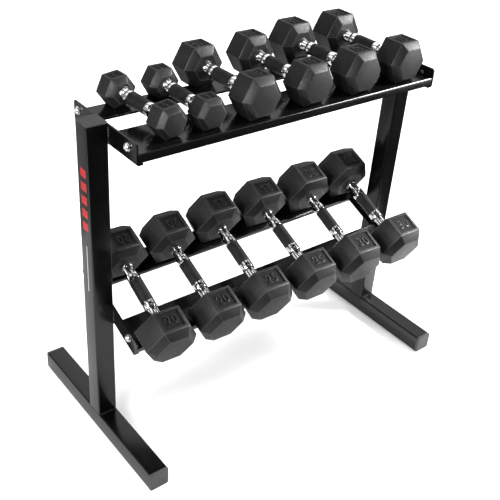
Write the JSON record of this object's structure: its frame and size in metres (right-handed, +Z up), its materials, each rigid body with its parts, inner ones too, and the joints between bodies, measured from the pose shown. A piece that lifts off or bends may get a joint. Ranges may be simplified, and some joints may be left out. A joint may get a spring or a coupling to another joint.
{
  "type": "dumbbell rack",
  "caption": "Two-tier steel dumbbell rack on square-tube legs, holding hexagonal dumbbells that lift off one by one.",
  "frame": {"origin": "on the floor, at the centre of the footprint", "axes": "+X along the shelves, +Z up, -Y towards the user"},
  "size_m": [0.9794, 0.5394, 0.9183],
  "materials": {
    "frame": "black gloss powder coat",
    "cap": "matte moulded",
    "bolt": "bright zinc plate",
    "head": "cast iron under a moulded black rubber coat",
    "handle": "chromed necks, knurled grip"
  },
  "bodies": {
    "rack": {"upright_left": "frame", "foot_left": "frame", "foot_cap_left_front": "cap", "foot_cap_left_rear": "cap", "upright_right": "frame", "foot_right": "frame", "foot_cap_right_front": "cap", "foot_cap_right_rear": "cap", "bracket_top_left": "frame", "bolt_top_left_front": "bolt", "bolt_top_left_rear": "bolt", "bracket_top_right": "frame", "bolt_top_right_front": "bolt", "bolt_top_right_rear": "bolt", "rail_top_front": "frame", "rail_top_rear": "frame", "bracket_low_left": "frame", "bolt_low_left_front": "bolt", "bolt_low_left_rear": "bolt", "bracket_low_right": "frame", "bolt_low_right_front": "bolt", "bolt_low_right_rear": "bolt", "rail_low_front": "frame", "rail_low_rear": "frame"},
    "dumbbell_t1": {"handle_t1": "handle", "head_t1_rear": "head", "head_t1_front": "head"},
    "dumbbell_t2": {"handle_t2": "handle", "head_t2_rear": "head", "head_t2_front": "head"},
    "dumbbell_t3": {"handle_t3": "handle", "head_t3_rear": "head", "head_t3_front": "head"},
    "dumbbell_t4": {"handle_t4": "handle", "head_t4_rear": "head", "head_t4_front": "head"},
    "dumbbell_t5": {"handle_t5": "handle", "head_t5_rear": "head", "head_t5_front": "head"},
    "dumbbell_t6": {"handle_t6": "handle", "head_t6_rear": "head", "head_t6_front": "head"},
    "dumbbell_l1": {"handle_l1": "handle", "head_l1_rear": "head", "head_l1_front": "head"},
    "dumbbell_l2": {"handle_l2": "handle", "head_l2_rear": "head", "head_l2_front": "head"},
    "dumbbell_l3": {"handle_l3": "handle", "head_l3_rear": "head", "head_l3_front": "head"},
    "dumbbell_l4": {"handle_l4": "handle", "head_l4_rear": "head", "head_l4_front": "head"},
    "dumbbell_l5": {"handle_l5": "handle", "head_l5_rear": "head", "head_l5_front": "head"},
    "dumbbell_l6": {"handle_l6": "handle", "head_l6_rear": "head", "head_l6_front": "head"}
  },
  "joints": [
    {"name": "lift_t1", "type": "slide", "parent": "rack", "child": "dumbbell_t1", "axis": [0, 0, 1], "range_m": [0, 0.22]},
    {"name": "lift_t2", "type": "slide", "parent": "rack", "child": "dumbbell_t2", "axis": [0, 0, 1], "range_m": [0, 0.22]},
    {"name": "lift_t3", "type": "slide", "parent": "rack", "child": "dumbbell_t3", "axis": [0, 0, 1], "range_m": [0, 0.22]},
    {"name": "lift_t4", "type": "slide", "parent": "rack", "child": "dumbbell_t4", "axis": [0, 0, 1], "range_m": [0, 0.22]},
    {"name": "lift_t5", "type": "slide", "parent": "rack", "child": "dumbbell_t5", "axis": [0, 0, 1], "range_m": [0, 0.22]},
    {"name": "lift_t6", "type": "slide", "parent": "rack", "child": "dumbbell_t6", "axis": [0, 0, 1], "range_m": [0, 0.22]},
    {"name": "lift_l1", "type": "slide", "parent": "rack", "child": "dumbbell_l1", "axis": [0, -0.9397, 0.342], "range_m": [0, 0.32]},
    {"name": "lift_l2", "type": "slide", "parent": "rack", "child": "dumbbell_l2", "axis": [0, -0.9397, 0.342], "range_m": [0, 0.32]},
    {"name": "lift_l3", "type": "slide", "parent": "rack", "child": "dumbbell_l3", "axis": [0, -0.9397, 0.342], "range_m": [0, 0.32]},
    {"name": "lift_l4", "type": "slide", "parent": "rack", "child": "dumbbell_l4", "axis": [0, -0.9397, 0.342], "range_m": [0, 0.32]},
    {"name": "lift_l5", "type": "slide", "parent": "rack", "child": "dumbbell_l5", "axis": [0, -0.9397, 0.342], "range_m": [0, 0.32]},
    {"name": "lift_l6", "type": "slide", "parent": "rack", "child": "dumbbell_l6", "axis": [0, 0, 1], "range_m": [0, 0.24]}
  ]
}
